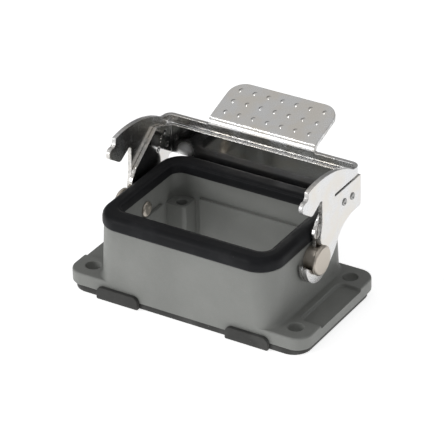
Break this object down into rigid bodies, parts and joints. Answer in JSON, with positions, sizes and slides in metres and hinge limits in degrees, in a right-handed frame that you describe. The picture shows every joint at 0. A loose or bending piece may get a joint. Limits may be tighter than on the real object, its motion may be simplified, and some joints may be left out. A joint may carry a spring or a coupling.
{
  "type": "rectangular connector housing",
  "caption": "Panel-mounted die-cast housing of a heavy duty rectangular connector, with flange gasket, rim seal and a hinged sheet-metal locking lever.",
  "frame": {"origin": "centre of the panel face, the underside of the flange gasket, midway between the four panel screws", "axes": "+X along the long side and the lever's hinge axis, +Y to the side the lever opens towards, +Z out of the panel towards the mating rim"},
  "size_m": [0.082, 0.0638, 0.0472],
  "materials": {
    "powder_coated_casting": "fine satin grey powder coat on a die casting",
    "gasket_rubber": "matt black moulded rubber",
    "seal_rubber": "satin black moulded rubber",
    "nickel_plated_pin": "turned, nickel plated, warm grey",
    "zinc_plated_sheet": "bright zinc plated pressed sheet",
    "spring_sheet": "bright spring steel sheet",
    "lever_rivet": "plated steel"
  },
  "bodies": {
    "base": {"housing": "powder_coated_casting", "flange_gasket": "gasket_rubber", "rim_seal": "seal_rubber", "pivot_pin_right": "nickel_plated_pin", "pivot_pin_left": "nickel_plated_pin"},
    "lever": {"locking_lever": "zinc_plated_sheet", "spring_bail": "spring_sheet", "rivet_right_front": "lever_rivet", "rivet_right_rear": "lever_rivet", "rivet_left_front": "lever_rivet", "rivet_left_rear": "lever_rivet"}
  },
  "joints": [
    {"name": "lever_hinge", "type": "hinge", "parent": "base", "child": "lever", "pos_m": [0, 0, 0.02], "axis": [1, 0, 0], "range_deg": [-38.5, 0]}
  ]
}
